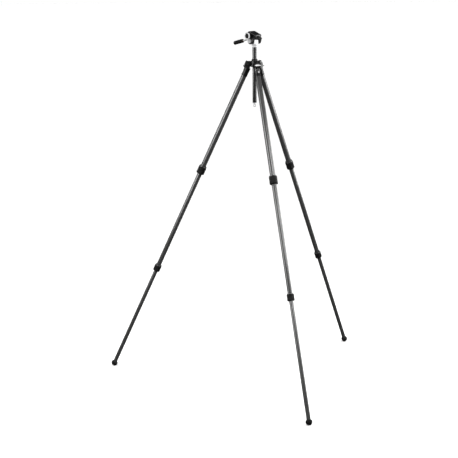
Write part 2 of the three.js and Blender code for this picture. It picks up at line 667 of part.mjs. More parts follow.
// The column stands off the centre of the three feet's box, so the box sets the origin.
const centre = new THREE.Box3().setFromObject(tripod, true).getCenter(new THREE.Vector3());
tripod.position.set(-centre.x, -centre.y, 0);

export default tripod;
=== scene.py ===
"""The looks of a carbon tripod with a small pan-and-tilt head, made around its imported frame.

Every piece is modelled in millimetres in a local frame that the record's joints give (a leg, the
column, the post or the tilting head) and is then placed in the row frame, in metres.
"""
import json
import math

import bmesh
import bpy
from mathutils import Matrix, Vector


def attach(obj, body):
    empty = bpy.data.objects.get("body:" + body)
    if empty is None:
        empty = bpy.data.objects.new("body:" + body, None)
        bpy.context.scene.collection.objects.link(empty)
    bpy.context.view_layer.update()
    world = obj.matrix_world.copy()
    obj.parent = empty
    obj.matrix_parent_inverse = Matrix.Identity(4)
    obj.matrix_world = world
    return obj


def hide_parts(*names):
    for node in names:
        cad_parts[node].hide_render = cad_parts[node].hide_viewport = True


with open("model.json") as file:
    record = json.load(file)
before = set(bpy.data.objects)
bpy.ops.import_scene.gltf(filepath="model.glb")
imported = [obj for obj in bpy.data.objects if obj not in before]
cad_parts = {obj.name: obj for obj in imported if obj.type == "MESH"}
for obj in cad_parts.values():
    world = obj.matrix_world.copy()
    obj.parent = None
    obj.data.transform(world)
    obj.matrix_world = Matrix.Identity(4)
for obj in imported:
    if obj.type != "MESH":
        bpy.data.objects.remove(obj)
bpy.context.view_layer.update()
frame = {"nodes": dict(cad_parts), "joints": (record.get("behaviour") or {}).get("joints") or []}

MM = 0.001
LEGS = ("right", "left", "front")
JOINTS = {joint["name"]: joint for joint in frame["joints"]}
ROUND = 64  # segments of a turned piece
FINE_ROUND = 96  # segments of a turned piece whose outline shows
LOCAL = "local_mm"  # the attribute that keeps each point's place in its own local frame

# Millimetres that several pieces share.
PIVOT_HOLE = 3.3  # radius of a leg pivot's hole in the casting and in the spider's lug
CATCH_GUIDE_SIDE = 12  # how far a catch's guide pins stand to each side
CATCH_GUIDE_HEIGHT = -11
AXLE_HOLE = 5.3  # radius of the tilt axle's hole in the post and in the yoke
HANDLE_BORE = 4.3
JAW_GUIDE_SIDE = 15  # how far the jaw's guide pins stand to each side
JAW_FLANK = 17.0  # where the clamp's slanted flanks reach out furthest, from the middle
JAW_FLANK_HEIGHT = 32.5


# ------------------------------------------------------------------ local frames and measures

def placed(origin, x, y, z):
    """The matrix of a local frame, from millimetres to the row frame's metres."""
    axes = Matrix((x.normalized(), y.normalized(), z.normalized())).transposed().to_4x4()
    return Matrix.Translation(origin) @ axes @ Matrix.Scale(MM, 4)


def leg_place(leg):
    """Origin on the leg's pivot, x outward, z up along the leg."""
    fold = JOINTS[f"{leg}_leg_fold"]
    y = -Vector(fold["axis"])
    z = Vector(JOINTS[f"{leg}_leg_mid_slide"]["axis"])
    return placed(Vector(fold["pos_m"]), y.cross(z), y, z)


def column_place():
    """Origin on the column's axis, on the floor, along the row's own axes."""
    x, y, _ = JOINTS["column_lock_turn"]["pos_m"]
    return placed(Vector((x, y, 0)), Vector((1, 0, 0)), Vector((0, 1, 0)), Vector((0, 0, 1)))


def head_place(level):
    """Origin on the tilt axis, x forward, -y to the side of the clamp knob."""
    y = -Vector(JOINTS["tilt"]["axis"])
    z = Vector((0, 0, 1)) if level else Vector(JOINTS["camera_screw_lift"]["axis"])
    return placed(Vector(JOINTS["tilt"]["pos_m"]), y.cross(z), y, z)


def span(node, place):
    """Lowest and highest corner of a CAD node in a local frame, in millimetres."""
    inverse = place.inverted()
    points = [inverse @ vertex.co for vertex in frame["nodes"][node].data.vertices]
    low, high = ([pick(p[i] for p in points) for i in range(3)] for pick in (min, max))
    return Vector(low), Vector(high)


# ------------------------------------------------------------------ shapes

def arc(x, z, radius, start, end, steps=10):
    """Points on an arc, its angles in degrees from +x towards +z."""
    turns = (math.radians(start + (end - start) * i / steps) for i in range(steps + 1))
    return [(x + radius * math.cos(a), z + radius * math.sin(a)) for a in turns]


def softened(profile, closed):
    """Rounds each corner of a profile that carries a third number, its fillet's radius."""
    points, count = [], len(profile)
    for i, corner in enumerate(profile):
        here = Vector(corner[:2])
        radius = corner[2] if len(corner) > 2 else 0
        if not radius or (not closed and i in (0, count - 1)):
            points.append(here)
            continue
        before = Vector(profile[i - 1][:2]) - here
        after = Vector(profile[(i + 1) % count][:2]) - here
        turn = before.angle(after)
        back = min(radius / math.tan(turn / 2), before.length * 0.49, after.length * 0.49)
        start, end = here + before.normalized() * back, here + after.normalized() * back
        for t in (0, 0.25, 0.5, 0.75, 1):
            points.append(start * (1 - t) ** 2 + here * 2 * t * (1 - t) + end * t * t)
    return points


def turned(profile, segments=ROUND, shape=None):
    """A profile of (radius, height[, fillet]) points turned about z.

    It starts and ends on the axis or closes on itself. shape(radius, height, angle) may change
    the radius, for ribs and knurls.
    """
    closed = profile[0][0] > 0
    points = softened(profile, closed)
    bm = bmesh.new()
    rings = []
    for radius, height in points:
        if radius < 1e-6:
            rings.append([bm.verts.new((0, 0, height))] * segments)
            continue
        ring = []
        for i in range(segments):
            angle = 2 * math.pi * i / segments
            r = shape(radius, height, angle) if shape else radius
            ring.append(bm.verts.new((r * math.cos(angle), r * math.sin(angle), height)))
        rings.append(ring)
    pairs = list(zip(rings, rings[1:])) + ([(rings[-1], rings[0])] if closed else [])
    for lower, upper in pairs:
        for i in range(segments):
            k = (i + 1) % segments
            corners = dict.fromkeys((lower[i], lower[k], upper[k], upper[i]))
            if len(corners) > 2:
                bm.faces.new(corners)
    bmesh.ops.recalc_face_normals(bm, faces=bm.faces)
    return bm


def ribs(count, depth, low, high, sharpness=1.0, least=0.0):
    """A radius rule for turned(): grooves along the piece between two heights.

    They run out at their ends and leave radii under the least one as they are.
    """
    fade = 1.2
    def shape(radius, height, angle):
        if radius < least:
            return radius
        edge = max(0.0, min(1.0, (height - low) / fade, (high - height) / fade))
        wave = (0.5 + 0.5 * math.cos(count * angle)) ** sharpness
        return radius - depth * edge * wave
    return shape


def prism(outline, low, high, along="y"):
    """An outline in the xz plane given length along y, or one in the yz plane along x."""
    def corner(a, b, reach):
        return (a, reach, b) if along == "y" else (reach, a, b)
    bm = bmesh.new()
    ends = [[bm.verts.new(corner(a, b, reach)) for a, b in outline] for reach in (low, high)]
    count = len(outline)
    bm.faces.new(ends[0])
    bm.faces.new(ends[1])
    for i in range(count):
        k = (i + 1) % count
        bm.faces.new((ends[0][i], ends[0][k], ends[1][k], ends[1][i]))
    bmesh.ops.recalc_face_normals(bm, faces=bm.faces)
    return bm


def block(low, high):
    """A box between two corners."""
    outline = [(low[0], low[2]), (high[0], low[2]), (high[0], high[2]), (low[0], high[2])]
    return prism(outline, low[1], high[1])


def rod(radius, low, high, segments=32):
    """A solid cylinder along z."""
    return turned([(0, low), (radius, low), (radius, high), (0, high)], segments)


def moved(bm, matrix):
    bmesh.ops.transform(bm, matrix=matrix, verts=bm.verts)
    return bm


def shifted(bm, x=0, y=0, z=0):
    return moved(bm, Matrix.Translation((x, y, z)))


def to_near_side(bm):
    """Lays a piece made along z over to -y."""
    return moved(bm, Matrix.Rotation(math.pi / 2, 4, "X"))


def to_forward(bm):
    """Lays a piece made along z over to +x."""
    return moved(bm, Matrix.Rotation(math.pi / 2, 4, "Y"))


def as_object(bm):
    mesh = bpy.data.meshes.new("work")
    bm.to_mesh(mesh)
    bm.free()
    obj = bpy.data.objects.new("work", mesh)
    bpy.context.scene.collection.objects.link(obj)
    return obj


def through_modifier(bm, kind, tool=None, **settings):
    """The mesh after one modifier, which may take a second mesh as its tool."""
    work = as_object(bm)
    modifier = work.modifiers.new("work", kind)
    for key, value in settings.items():
        setattr(modifier, key, value)
    helper = as_object(tool) if tool else None
    if helper:
        modifier.object = helper
    bpy.context.view_layer.update()
    result = bmesh.new()
    result.from_mesh(work.evaluated_get(bpy.context.evaluated_depsgraph_get()).to_mesh())
    for used in (work, helper):
        if used:
            mesh = used.data
            bpy.data.objects.remove(used)
            bpy.data.meshes.remove(mesh)
    return result


def joined(first, *others):
    for other in others:
        first = through_modifier(first, "BOOLEAN", other, operation="UNION", solver="MANIFOLD")
    return first


def cut(first, *tools):
    for tool in tools:
        first = through_modifier(first, "BOOLEAN", tool, operation="DIFFERENCE",
                                 solver="MANIFOLD")
    return first


def bevelled(bm, width, steps=3, angle=32):
    """Cleans up after the cuts, then rounds every edge sharper than an angle in degrees."""
    weld, flat = 0.004, math.radians(0.6)
    bmesh.ops.remove_doubles(bm, verts=bm.verts, dist=weld)
    bmesh.ops.dissolve_limit(bm, angle_limit=flat, verts=bm.verts, edges=bm.edges)
    return through_modifier(bm, "BEVEL", width=width, segments=steps, limit_method="ANGLE",
                            angle_limit=math.radians(angle), miter_outer="MITER_ARC",
                            use_clamp_overlap=True)


def piece(name, bm, place, body, slot, nodes, material=None):
    """Places a finished mesh on its body, in the row frame, in the stead of its CAD nodes."""
    mesh = bpy.data.meshes.new(name)
    bm.to_mesh(mesh)
    bm.free()
    local = mesh.attributes.new(LOCAL, "FLOAT_VECTOR", "POINT")
    local.data.foreach_set("vector", [c for vertex in mesh.vertices for c in vertex.co])
    mesh.transform(place)
    mesh.shade_smooth()
    mesh.set_sharp_from_angle(angle=math.radians(38))
    obj = bpy.data.objects.new(name, mesh)
    bpy.context.scene.collection.objects.link(obj)
    mesh.materials.append(material or MATERIALS[slot])
    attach(obj, body)
    if nodes:
        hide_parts(*nodes)
    return obj


# ------------------------------------------------------------------ materials

class Shader:
    """One node material, with short calls for the nodes that this file needs.

    It is laid out over each point's local millimetres or, for an object without the LOCAL
    attribute (kept=True), over the object's own coordinates in millimetres.
    """

    def __init__(self, name, metallic=0.0, coat=0.0, coat_roughness=0.1, specular=0.5,
                 kept=False):
        self.material = bpy.data.materials.new(name)
        self.material.use_nodes = True
        self.tree = self.material.node_tree
        self.surface = self.tree.nodes["Principled BSDF"]
        self.surface.inputs["Metallic"].default_value = metallic
        self.surface.inputs["Coat Weight"].default_value = coat
        self.surface.inputs["Coat Roughness"].default_value = coat_roughness
        self.surface.inputs["Specular IOR Level"].default_value = specular
        if kept:
            metres = self.tree.nodes.new("ShaderNodeTexCoord").outputs["Object"]
            scaled = self.tree.nodes.new("ShaderNodeVectorMath")
            scaled.operation = "SCALE"
            scaled.inputs["Scale"].default_value = 1 / MM
            self.put(scaled.inputs[0], metres)
            self.local = scaled.outputs[0]
        else:
            place = self.tree.nodes.new("ShaderNodeAttribute")
            place.attribute_name = LOCAL
            self.local = place.outputs["Vector"]

    def put(self, socket, value):
        if isinstance(value, bpy.types.NodeSocket):
            self.tree.links.new(value, socket)
        else:
            socket.default_value = value

    def math(self, operation, a, b=0.0):
        node = self.tree.nodes.new("ShaderNodeMath")
        node.operation = operation
        self.put(node.inputs[0], a)
        self.put(node.inputs[1], b)
        return node.outputs[0]

    def split(self, vector=None):
        node = self.tree.nodes.new("ShaderNodeSeparateXYZ")
        self.put(node.inputs[0], vector or self.local)
        return node.outputs

    def combine(self, x, y, z):
        node = self.tree.nodes.new("ShaderNodeCombineXYZ")
        for socket, value in zip(node.inputs, (x, y, z)):
            self.put(socket, value)
        return node.outputs[0]

    def noise(self, scale, detail=3.0, stretch=None):
        """Noise over the local millimetres: scale is about its bumps per millimetre."""
        vector = self.local
        if stretch:
            scaled = self.tree.nodes.new("ShaderNodeVectorMath")
            scaled.operation = "MULTIPLY"
            self.put(scaled.inputs[0], vector)
            scaled.inputs[1].default_value = stretch
            vector = scaled.outputs[0]
        node = self.tree.nodes.new("ShaderNodeTexNoise")
        self.put(node.inputs["Vector"], vector)
        node.inputs["Scale"].default_value = scale
        node.inputs["Detail"].default_value = detail
        return node.outputs["Fac"]

    def ramp(self, value, low, high, start=0.3, end=0.7):
        """Maps value from start..end on to low..high, which are numbers."""
        node = self.tree.nodes.new("ShaderNodeMapRange")
        self.put(node.inputs["Value"], value)
        node.inputs["From Min"].default_value = start
        node.inputs["From Max"].default_value = end
        node.inputs["To Min"].default_value = low
        node.inputs["To Max"].default_value = high
        return node.outputs["Result"]

    def colours(self, value, *stops):
        """Maps value on to colours, given as (place, (r, g, b))."""
        node = self.tree.nodes.new("ShaderNodeValToRGB")
        self.put(node.inputs[0], value)
        elements = node.color_ramp.elements
        while len(elements) < len(stops):
            elements.new(0.5)
        for element, (position, rgb) in zip(elements, stops):
            element.position = position
            element.color = (*rgb, 1)
        return node.outputs["Color"]

    def bump(self, height, depth_mm, strength=1.0):
        node = self.tree.nodes.new("ShaderNodeBump")
        self.put(node.inputs["Height"], height)
        node.inputs["Distance"].default_value = depth_mm * MM
        node.inputs["Strength"].default_value = strength
        self.put(self.surface.inputs["Normal"], node.outputs[0])

    def finish(self, colour, roughness):
        self.put(self.surface.inputs["Base Color"], colour)
        self.put(self.surface.inputs["Roughness"], roughness)
        return self.material


def carbon(name, dark, light, tows_round, metallic):
    """Two-by-two twill of carbon tows, under a clear coat."""
    tow_width = 2.1
    s = Shader(name, metallic=metallic, coat=0.15, coat_roughness=0.15, specular=0.2)
    s.surface.inputs["Specular Tint"].default_value = (0.25, 0.25, 0.25, 1)
    x, y, z = s.split()
    around = s.math("MULTIPLY", s.math("ARCTAN2", y, x), tows_round / (2 * math.pi))
    along = s.math("DIVIDE", z, tow_width)
    step = s.math("ADD", s.math("FLOOR", around), s.math("FLOOR", along))
    warp = s.math("LESS_THAN", s.math("FLOORED_MODULO", step, 4.0), 2.0)
    weft = s.math("SUBTRACT", 1.0, warp)

    def crown(coordinate):
        return s.math("ABSOLUTE", s.math("SINE", s.math("MULTIPLY", coordinate, math.pi)))

    height = s.math("ADD", s.math("MULTIPLY", warp, crown(around)),
                    s.math("MULTIPLY", weft, crown(along)))
    fibre = s.noise(3.0, 2.0, stretch=(1, 1, 0.2))
    shade = s.math("ADD", s.math("MULTIPLY", warp, 0.45), s.math("MULTIPLY", fibre, 0.55))
    tone = s.math("MULTIPLY", shade, s.ramp(height, 0.55, 1.0, 0.0, 0.6))
    s.bump(height, 0.02, 0.35)
    return s.finish(s.colours(tone, (0.1, dark), (0.75, light)), s.ramp(shade, 0.3, 0.2, 0, 1))


def cast_black():
    """Fine glossy powder coat over a casting."""
    s = Shader("powder_coated_casting", specular=0.42)
    grain = s.noise(2.6, 4.0)
    cloud = s.noise(0.09, 2.0)
    tone = s.math("ADD", s.math("MULTIPLY", grain, 0.5), s.math("MULTIPLY", cloud, 0.5))
    s.bump(grain, 0.05, 0.5)
    colour = s.colours(tone, (0.3, (0.002, 0.002, 0.0021)), (0.7, (0.008, 0.008, 0.0082)))
    return s.finish(colour, s.ramp(grain, 0.24, 0.4))


def black_rubber():
    """Moulded rubber with a fine grain and a faint bloom."""
    s = Shader("black_rubber", specular=0.22)
    grain = s.noise(3.0, 5.0)
    dust = s.noise(0.16, 3.0)
    tone = s.math("ADD", s.math("MULTIPLY", grain, 0.4), s.math("MULTIPLY", dust, 0.6))
    s.bump(grain, 0.07, 0.6)
    colour = s.colours(tone, (0.3, grey(0.002)), (0.7, grey(0.009)))
    return s.finish(colour, s.ramp(tone, 0.42, 0.62))


def black_plastic():
    """Moulded nylon with a fine spark-eroded texture."""
    s = Shader("moulded_black_nylon", specular=0.25)
    grain = s.noise(4.5, 4.0)
    s.bump(grain, 0.03, 0.5)
    colour = s.colours(grain, (0.3, (0.004, 0.004, 0.0042)), (0.7, (0.012, 0.012, 0.0122)))
    return s.finish(colour, s.ramp(grain, 0.34, 0.5))


def metal(name, dark, light, rough, turned_lines=False, metallic=1.0, kept=False):
    """Anodised or bare metal with fine tool lines, round the local z axis or along x.

    rough holds the roughness of its dark and of its light tone.
    """
    s = Shader(name, metallic=metallic, kept=kept)
    lines_per_mm = 9.0
    if turned_lines:
        x, y, z = s.split()
        out = s.math("SQRT", s.math("ADD", s.math("MULTIPLY", x, x), s.math("MULTIPLY", y, y)))
        line = s.math("ADD", s.math("MULTIPLY", z, lines_per_mm),
                      s.math("MULTIPLY", out, lines_per_mm))
        node = s.tree.nodes.new("ShaderNodeTexNoise")
        s.put(node.inputs["Vector"], s.combine(line, 0.0, 0.0))
        node.inputs["Scale"].default_value = 1.0
        node.inputs["Detail"].default_value = 2.0
        lines = node.outputs["Fac"]
    else:
        lines = s.noise(1.0, 3.0, (0.4, lines_per_mm, lines_per_mm))
    cloud = s.noise(0.12, 2.0)
    tone = s.math("ADD", s.math("MULTIPLY", lines, 0.4), s.math("MULTIPLY", cloud, 0.6))
    s.bump(lines, 0.008, 0.5)
    return s.finish(s.colours(tone, (0.3, dark), (0.7, light)), s.ramp(tone, *rough))


def blackened_tab():
    """Black oxide on the catch's tab, with a painted highlight of bright steel colour along its
    foot.
    """
    s = Shader("blackened_catch_tab", metallic=0.5)
    grain = s.noise(1.2, 3.0)
    # Painted highlight: the colour turns from black to bright steel towards the tab's foot, along a
    # ragged line.
    edge = s.math("ADD", s.split()[2], s.math("MULTIPLY", grain, 3.0))
    s.bump(grain, 0.02, 0.5)
    painted_highlight = s.ramp(edge, 1.0, 0.0, -5.0, -1.5)
    colour = s.colours(painted_highlight, (0.1, grey(0.006)), (0.9, grey(0.5, 1.02)))
    return s.finish(colour, s.ramp(grain, 0.3, 0.45))


def nylon():
    """White bearing plastic, for the inner pieces that stay as the CAD made them."""
    s = Shader("natural_acetal", specular=0.4, kept=True)
    grain = s.noise(1.5, 3.0)
    s.bump(grain, 0.01, 0.4)
    colour = s.colours(grain, (0.3, (0.74, 0.73, 0.69)), (0.7, (0.84, 0.83, 0.8)))
    return s.finish(colour, s.ramp(grain, 0.35, 0.5))


def grey(value, tint=1.0):
    """A neutral colour, with its blue raised by the tint."""
    return (value, value, value * tint)


MATERIALS = {
    "carbon_tube": carbon("carbon_twill", grey(0.05), grey(0.19), 36, 0.65),
    "column_tube": carbon("column_carbon_twill", grey(0.03), grey(0.12), 28, 0.85),
    "black_casting": cast_black(),
    "black_plastic": black_plastic(),
    "black_rubber": black_rubber(),
    "satin_silver": metal("satin_silver", grey(0.84, 1.01), grey(0.94, 1.01), (0.45, 0.58),
                          turned_lines=True, metallic=0.2),
    "grey_metal": metal("grey_anodised", grey(0.22, 1.01), grey(0.34, 1.01), (0.35, 0.5)),
    "bright_steel": metal("polished_steel", grey(0.2, 1.02), grey(0.32, 1.02), (0.28, 0.42)),
    "white_nylon": nylon(),
}

# Finishes that single pieces have instead of their slot's own.
SCREW_STEEL = metal("screw_steel", grey(0.7, 1.01), grey(0.86, 1.01), (0.35, 0.5),
                    metallic=0.35)
BAR_STEEL = metal("catch_bar_steel", grey(0.64, 1.01), grey(0.82, 1.01), (0.3, 0.42),
                  metallic=0.5)
PIN_STEEL = metal("blackened_pin_steel", grey(0.02), grey(0.045), (0.35, 0.5), metallic=0.6)
TAB_STEEL = blackened_tab()
NUT_METAL = metal("nut_rim_metal", grey(0.14), grey(0.24), (0.3, 0.42), turned_lines=True)
POST_METAL = metal("post_silver", grey(0.82, 1.01), grey(0.94, 1.01), (0.45, 0.58),
                   metallic=0.2)
DISC_SILVER = metal("tilt_disc_silver", grey(0.4, 1.01), grey(0.56, 1.01), (0.4, 0.52),
                    turned_lines=True, metallic=0.5)
KNOB_SILVER = metal("knob_silver", grey(0.58, 1.01), grey(0.74, 1.01), (0.4, 0.52),
                    metallic=0.4)
BROWN_COLLAR = metal("collar_bronze", (0.06, 0.045, 0.035), (0.1, 0.075, 0.06), (0.35, 0.5),
                     turned_lines=True)
AXLE_STEEL = metal("axle_steel", grey(0.3, 1.02), grey(0.45, 1.02), (0.25, 0.38), kept=True)


# ------------------------------------------------------------------ legs

def leg_tube(leg, section, body, place):
    node = f"{leg}_leg_{section}_tube"
    low, high = span(node, place)
    radius, wall, lip = high.y, 1.1, 0.4
    shape = turned([(radius - wall, low.z), (radius, low.z, lip), (radius, high.z, lip),
                    (radius - wall, high.z)], FINE_ROUND)
    piece(f"{leg}_{section}_tube", shape, place, body, "carbon_tube", [node])


def lock_grip(leg, lock, body, place):
    """Rubber with blocks between grooves, a plain band at each end and a waist groove."""
    node = f"{leg}_leg_{lock}_lock_grip"
    low, high = span(node, place)
    radius, inside = high.y, high.y - 2.8
    middle = (low.z + high.z) / 2
    waist = radius - 0.7
    profile = [
        (inside, low.z, 0.2), (radius - 1.6, low.z, 0.8), (radius, low.z + 2.2, 1.2),
        (radius, low.z + 4.2), (radius, middle - 2.0, 0.3), (waist, middle - 1.4, 0.3),
        (waist, middle + 1.4, 0.3), (radius, middle + 2.0, 0.3), (radius, high.z - 4.2),
        (radius, high.z - 2.2, 1.2), (radius - 1.6, high.z, 0.8), (inside, high.z, 0.2)]
    count, depth, band = 26, 0.9, 3.0
    grooves = ribs(count, depth, low.z + band, high.z - band, 2.2, radius - depth)
    shape = turned(profile, count * 8, grooves)
    piece(f"{leg}_{lock}_grip", shape, place, body, "black_rubber", [node])


def lock_nut(leg, lock, wide, narrow, body, place):
    """The metal nut, whose thin rim shows above the grip."""
    node = f"{leg}_leg_{lock}_lock_nut"
    low, high = span(node, place)
    wide_low, wide_high = span(f"{leg}_leg_{wide}_tube", place)
    wide_bore, step = wide_high.y + 0.35, wide_low.z - 1
    narrow_bore = span(f"{leg}_leg_{narrow}_tube", place)[1].y + 0.3
    rim, shoulder = high.y, high.z - 3.2
    body_radius = rim - 1.7
    shape = turned([
        (wide_bore, high.z, 0.3), (wide_bore, step), (narrow_bore, step - 2),
        (narrow_bore, low.z, 0.4), (body_radius, low.z, 0.4), (body_radius, shoulder),
        (rim, shoulder, 0.4), (rim, high.z, 0.8)], FINE_ROUND)
    piece(f"{leg}_{lock}_nut", shape, place, body, "grey_metal", [node], NUT_METAL)


def leg_foot(leg, body, place):
    """A domed rubber cup with tread rings, flat where it bears on the floor."""
    node = f"{leg}_leg_foot"
    high = span(node, place)[1]
    radius, skirt = high.y, high.z
    centre, seat = skirt - 8, skirt - 6
    bore = span(f"{leg}_leg_lower_tube", place)[1].y + 0.2
    dome = [(radius * math.cos(math.radians(a)), centre + radius * math.sin(math.radians(a)))
            for a in range(-86, 1, 4)]
    shape = turned([(0, centre - radius), *dome, (radius, centre + 1.5, 0.4),
                    (radius - 0.8, centre + 2.2, 0.3), (radius - 0.8, centre + 3.4, 0.3),
                    (radius - 0.3, centre + 4.1, 0.4), (radius - 3.2, skirt, 1.0),
                    (bore, skirt, 0.4), (bore, seat), (0, seat)], FINE_ROUND)
    for vertex in shape.verts:
        below = (place @ vertex.co).z
        if below < 0:
            vertex.co += place.to_3x3().inverted() @ Vector((0, 0, -below))
    piece(f"{leg}_foot", shape, place, body, "black_rubber", [node])


def leg_casting(leg, body, place, tube_place):
    """The fork at the leg's top: a ribbed socket, a shelf and two ears."""
    node = f"{leg}_leg_casting"
    low, high = span(node, place)
    half, ear_radius = high.y, high.z
    axis = (tube_place.translation - place.translation).length / MM
    shelf_top, shelf_low = -13.3, -18.0
    socket = shifted(turned([
        (0, low.z), (half - 1.4, low.z), (half, low.z + 1.4), (half, low.z + 5),
        (half - 0.9, low.z + 6), (half - 0.9, low.z + 22), (half, low.z + 25),
        (half, shelf_low + 1), (0, shelf_low + 1)], 72), x=-axis)
    shelf = block((-ear_radius, -half, shelf_low), (high.x, half, shelf_top))
    buttress = prism([(-axis + 2, low.z + 27), (high.x - 0.4, shelf_low + 0.5),
                      (-axis + 2, shelf_low + 0.5)], -half + 5, half - 5)
    ear = arc(0, 0, ear_radius, 0, 180, 24) + [(-ear_radius, shelf_top - 1),
                                               (ear_radius, shelf_top - 1)]
    inner = 9.35
    shape = joined(socket, shelf, buttress, prism(ear, inner, half), prism(ear, -half, -inner))
    tube_radius = span(f"{leg}_leg_upper_tube", tube_place)[1].y
    bore = shifted(rod(tube_radius + 0.3, low.z - 1, shelf_low - 4, 72), x=-axis)
    pin_hole = to_near_side(rod(PIVOT_HOLE, -half - 1, half + 1))
    shape = bevelled(cut(shape, bore, pin_hole, *catch_guides(2.0, 3.7, high.x + 1, 20)), 0.8)
    piece(f"{leg}_casting", shape, place, body, "black_casting", [node])
    screws = ((8, -41, 4.0), (-40, -29, 3.2))
    for index, (turn, height, size) in enumerate(screws, 1):
        seat = Matrix.Translation((-axis, 0, height)) @ Matrix.Rotation(math.radians(turn), 4, "Z")
        screw = moved(to_forward(socket_screw(size, half - 3.5, half - 0.15)), seat)
        piece(f"{leg}_casting_screw_{index}", screw, place, body, "bright_steel", [],
              SCREW_STEEL)


def catch_guides(radius, low, high, segments):
    """The two guide pins of a catch, or their holes, between two places along x."""
    return [shifted(to_forward(rod(radius, low, high, segments)), y=side * CATCH_GUIDE_SIDE,
                    z=CATCH_GUIDE_HEIGHT) for side in (-1, 1)]


def socket_screw(radius, low, high):
    """A screw's head along z, with a hexagonal socket."""
    head = turned([(0, low), (radius, low), (radius, high, 0.4), (0, high)], 32)
    return cut(head, rod(radius * 0.55, high - 1.4, high + 1, 6))


def angle_catch(leg, body, place):
    """A polished bar on two guide pins, with a darker ridged tab that the lug stops against."""
    node = f"{leg}_leg_angle_catch"
    low, high = span(node, place)
    half, face = high.y, high.x
    inner, bar_low, bar_high = 12.4, -13.0, -9.0
    bar = block((inner, -half, bar_low), (face, half, bar_high))
    bar = bevelled(joined(bar, *catch_guides(1.7, low.x, inner + 1, 24)), 0.45)
    piece(f"{leg}_catch_bar", bar, place, body, "bright_steel", [node], BAR_STEEL)
    foot, tab_half, groove_half = bar_high + 0.02, 7.0, 5.2
    tab = prism([(inner, foot), (face - 0.3, foot), (face - 0.8, high.z - 2.2),
                 (face - 1.6, high.z), (inner, high.z)], -tab_half, tab_half)
    grooves = [block((face - 0.9, -groove_half, z), (face + 1, groove_half, z + 1.0))
               for z in (-5.0, -2.4, 0.2, 2.8)]
    piece(f"{leg}_catch_tab", bevelled(cut(tab, *grooves), 0.4), place, body, "bright_steel",
          [node], TAB_STEEL)


def pivot_pin(leg, body, place):
    """A pin with a round head at each end, each with a hexagonal socket."""
    node = f"{leg}_leg_pivot_pin"
    high = span(node, place)[1]
    head, rim, shank, radius = high.z, high.y, high.y - 1.6, 3
    pin = turned([(0, -rim), (head, -rim, 0.7), (head, -shank, 0.2), (radius, -shank),
                  (radius, shank), (head, shank, 0.2), (head, rim, 0.7), (0, rim)], 48)
    sockets = [rod(2.3, rim - 1.2, rim + 1, 6), rod(2.3, -rim - 1, -rim + 1.2, 6)]
    piece(f"{leg}_pivot_pin", to_near_side(cut(pin, *sockets)), place, body, "bright_steel",
          [node], PIN_STEEL)


def dress_leg(leg):
    place = leg_place(leg)
    low, high = span(f"{leg}_leg_upper_tube", place)
    tube_place = place @ Matrix.Translation(((low.x + high.x) / 2, 0, 0))
    body = f"{leg}_leg"
    mid, lower = f"{body}_mid_section", f"{body}_lower_section"
    leg_tube(leg, "upper", body, tube_place)
    leg_tube(leg, "mid", mid, tube_place)
    leg_tube(leg, "lower", lower, tube_place)
    for lock, wide, narrow in (("upper", "upper", "mid"), ("lower", "mid", "lower")):
        lock_nut(leg, lock, wide, narrow, f"{body}_{lock}_lock", tube_place)
        lock_grip(leg, lock, f"{body}_{lock}_lock", tube_place)
    leg_foot(leg, lower, tube_place)
    leg_casting(leg, body, place, tube_place)
    angle_catch(leg, f"{body}_catch", place)
    pivot_pin(leg, body, place)


# ------------------------------------------------------------------ spider and column

def spider(place):
    """The hub and its three lugs, each with the corner that stops a leg."""
    low, high = span("spider", place)
    bore, hub_radius, lug_radius, lug_root, lug_half = 12.6, 16.5, 12, 13.8, 9
    hub = turned([(bore, low.z), (hub_radius, low.z), (hub_radius, high.z), (bore, high.z)],
                 FINE_ROUND)
    top = high.z - 1.6
    lugs, holes = [], []
    for leg in LEGS:
        pivot = place.inverted() @ Vector(JOINTS[f"{leg}_leg_fold"]["pos_m"])
        out, turn = pivot.to_2d().length, math.atan2(pivot.y, pivot.x)
        outline = [(lug_root, -lug_radius), *arc(out, 0, lug_radius, -90, 35, 16),
                   (out + 7.2, top - pivot.z), (lug_root, top - pivot.z)]
        aim = Matrix.Rotation(turn, 4, "Z") @ Matrix.Translation((0, 0, pivot.z))
        lugs.append(moved(prism(outline, -lug_half, lug_half), aim))
        hole = to_near_side(rod(PIVOT_HOLE, -lug_half - 1, lug_half + 1))
        holes.append(moved(hole, aim @ Matrix.Translation((out, 0, 0))))
    shape = bevelled(cut(joined(hub, *lugs), *holes), 0.9)
    piece("spider_casting", shape, place, "spider", "black_casting", ["spider"])


def column(place):
    """The centre column's tube, its lock collar and its top plug."""
    low, high = span("center_column", place)
    radius, top = high.y, high.z
    inside, lip = radius - 1.4, 0.4
    tube = turned([(inside, low.z), (radius, low.z, lip), (radius, top, lip), (inside, top)],
                  FINE_ROUND)
    piece("column_tube", tube, place, "column", "column_tube", ["center_column"])

    low, high = span("column_lock_collar", place)
    rim, bore, count = high.y, 10.15, 20
    collar = turned([(bore, low.z, 0.3), (rim - 0.6, low.z, 0.4), (rim, low.z + 0.8, 0.3),
                     (rim, high.z - 2.2, 0.6), (rim - 2.0, high.z, 0.8), (bore, high.z, 0.3)],
                    count * 8, ribs(count, 0.7, low.z, high.z - 0.6, 1.6, rim - 1))
    piece("column_collar", collar, place, "column_lock_collar", "black_plastic",
          ["column_lock_collar"])

    low, high = span("column_top_plug", place)
    rim, stud = high.y, 4.7
    plug = turned([(0, low.z), (rim, low.z, 0.4), (rim, top, 0.3), (stud, top),
                   (stud, high.z, 0.5), (0, high.z)])
    piece("column_plug", plug, place, "column", "satin_silver", ["column_top_plug"])


